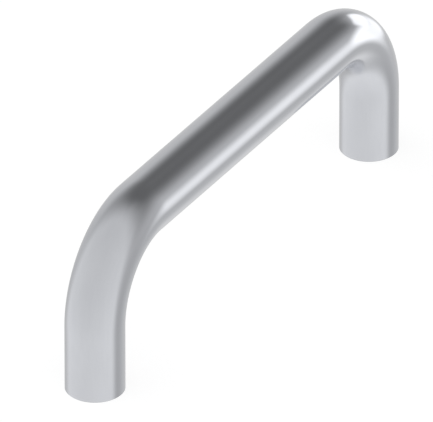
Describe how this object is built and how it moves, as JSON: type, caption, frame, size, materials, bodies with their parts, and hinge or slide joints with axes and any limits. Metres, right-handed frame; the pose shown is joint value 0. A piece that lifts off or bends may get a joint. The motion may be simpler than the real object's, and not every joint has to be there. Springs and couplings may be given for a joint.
{
  "type": "weld-on pull handle",
  "caption": "U-shaped pull handle bent from one round steel bar, with flat square-cut feet for butt welding to a door, lid or machine panel.",
  "frame": {"origin": "midway between the two weld feet, in the plane of their faces", "axes": "+X along the grip from one leg to the other, +Z from the feet up to the grip, +Y across the bar"},
  "size_m": [0.122, 0.012, 0.038],
  "materials": {
    "steel": "bright polished, with a faint lengthwise grain"
  },
  "bodies": {
    "root": {"handle": "steel"}
  },
  "joints": []
}
